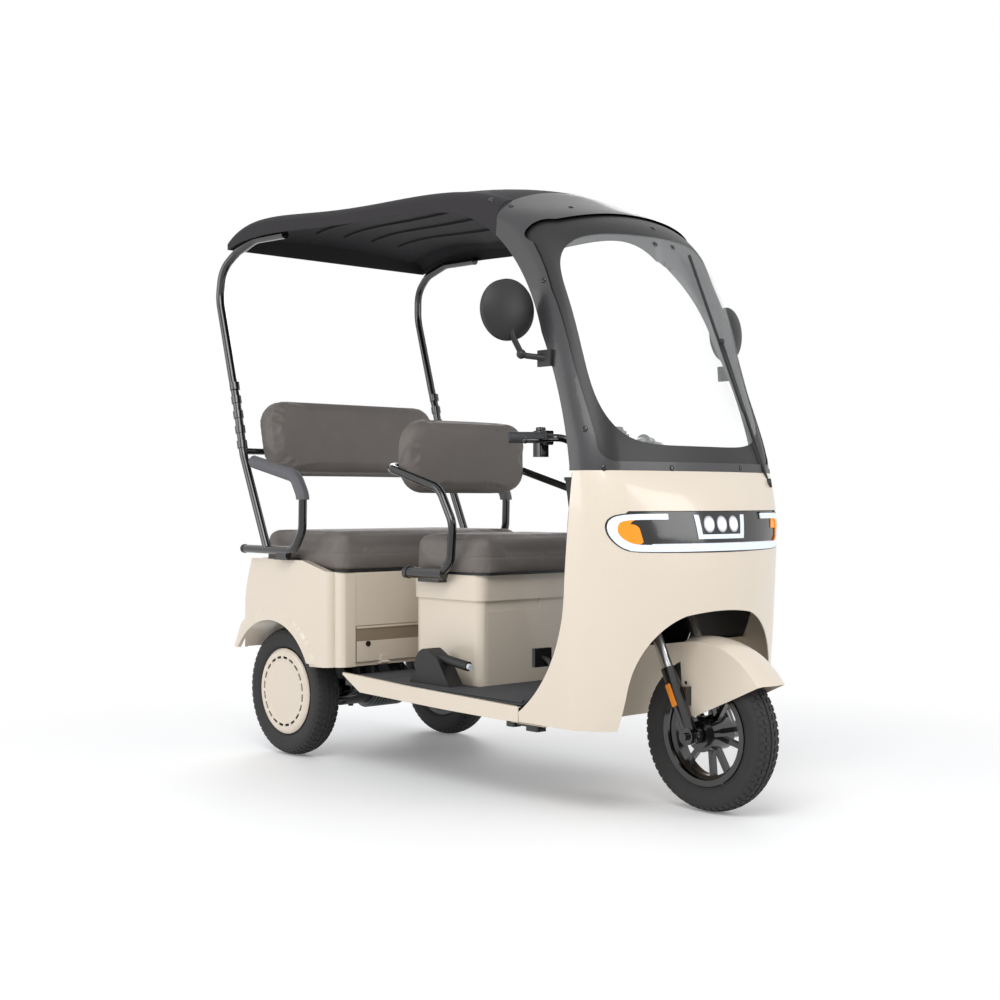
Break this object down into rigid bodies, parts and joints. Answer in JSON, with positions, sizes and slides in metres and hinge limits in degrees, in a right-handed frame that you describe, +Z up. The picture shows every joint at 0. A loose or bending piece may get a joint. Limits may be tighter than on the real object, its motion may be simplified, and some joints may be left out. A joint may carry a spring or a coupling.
{
  "type": "electric passenger tricycle",
  "caption": "Open-sided electric tricycle with a moulded fairing, windscreen, roof, driver seat and rear bench; it steers, rolls and opens its seats.",
  "frame": {"origin": "centre of the bounding box at the ground", "axes": "+X forward, +Y to the left of the vehicle, +Z up"},
  "size_m": [2.0336, 1.0626, 1.7847],
  "materials": {
    "cream_paint": "smooth glossy moulding",
    "grey_plastic": "satin",
    "black_plastic": "satin",
    "black_metal": "gloss powder coat",
    "fork_metal": "gloss paint with bright stanchions",
    "cast_aluminium": "as cast",
    "tyre_rubber": "moulded tread",
    "mat_rubber": "ribbed",
    "floor_steel": "satin",
    "seat_vinyl": "soft vinyl",
    "clear_glass": "clear",
    "mirror_glass": "polished",
    "red_lens": "clear red",
    "amber_lens": "clear amber",
    "lamp_lens": "clear and bright",
    "battery_case": "satin"
  },
  "bodies": {
    "root": {"battery_pack": "battery_case", "bench_backrest": "seat_vinyl", "brake_pedal": "black_plastic", "chassis_frame": "black_metal", "dash_console": "black_plastic", "drive_motor": "cast_aluminium", "driver_backrest": "seat_vinyl", "driver_seat_box": "cream_paint", "driver_seat_frame": "black_metal", "floor_mat": "mat_rubber", "floor_panel": "floor_steel", "front_fairing": "cream_paint", "headlamp_housing": "black_plastic", "indicator_lenses": "amber_lens", "lamp_lenses": "lamp_lens", "leg_shield": "black_plastic", "mirror_glasses": "mirror_glass", "mirrors": "black_plastic", "parking_brake": "black_plastic", "rear_arm_pads": "grey_plastic", "rear_armrests": "black_metal", "rear_axle": "black_metal", "rear_body": "cream_paint", "rear_front_panel": "cream_paint", "rear_suspension": "black_metal", "roof_panel": "grey_plastic", "roof_posts": "black_metal", "side_skirts": "cream_paint", "tail_lamps": "red_lens", "wheel_arch_liner": "cream_paint", "windscreen_frame": "grey_plastic", "windscreen_glass": "clear_glass", "windscreen_wiper": "black_plastic"},
    "steer": {"fork": "fork_metal", "handlebar": "black_metal", "handlebar_grips": "mat_rubber", "brake_levers": "black_metal", "instrument_pod": "black_plastic", "front_fender": "cream_paint", "fork_reflectors": "amber_lens"},
    "front_wheel": {"front_tyre": "tyre_rubber", "front_rim": "black_metal"},
    "rear_wheel_left": {"rear_tyre_left": "tyre_rubber", "rear_rim_left": "black_metal", "rear_hubcap_left": "cream_paint"},
    "rear_wheel_right": {"rear_tyre_right": "tyre_rubber", "rear_rim_right": "black_metal", "rear_hubcap_right": "cream_paint"},
    "bench_seat": {"bench_cushion": "seat_vinyl"},
    "driver_seat": {"driver_cushion": "seat_vinyl"},
    "battery_flap": {"battery_door": "cream_paint"}
  },
  "joints": [
    {"name": "steering", "type": "hinge", "parent": "root", "child": "steer", "pos_m": [0.61179, 0, 0.522], "axis": [-0.4305, 0, 0.9026], "range_deg": [-35, 35]},
    {"name": "front_wheel_spin", "type": "hinge", "parent": "steer", "child": "front_wheel", "pos_m": [0.80049, 0, 0.21], "axis": [0, 1, 0], "continuous": true},
    {"name": "rear_wheel_left_spin", "type": "hinge", "parent": "root", "child": "rear_wheel_left", "pos_m": [-0.70451, 0.328, 0.21], "axis": [0, 1, 0], "continuous": true},
    {"name": "rear_wheel_right_spin", "type": "hinge", "parent": "root", "child": "rear_wheel_right", "pos_m": [-0.70451, -0.328, 0.21], "axis": [0, 1, 0], "continuous": true},
    {"name": "bench_seat_lift", "type": "hinge", "parent": "root", "child": "bench_seat", "pos_m": [-0.80851, 0, 0.651], "axis": [0, -1, 0], "range_deg": [0, 50]},
    {"name": "driver_seat_lift", "type": "hinge", "parent": "root", "child": "driver_seat", "pos_m": [0.13349, 0, 0.6195], "axis": [0, 1, 0], "range_deg": [0, 70]},
    {"name": "battery_flap_swing", "type": "hinge", "parent": "root", "child": "battery_flap", "pos_m": [-0.35851, 0, 0.324], "axis": [0, 1, 0], "range_deg": [0, 90]}
  ]
}
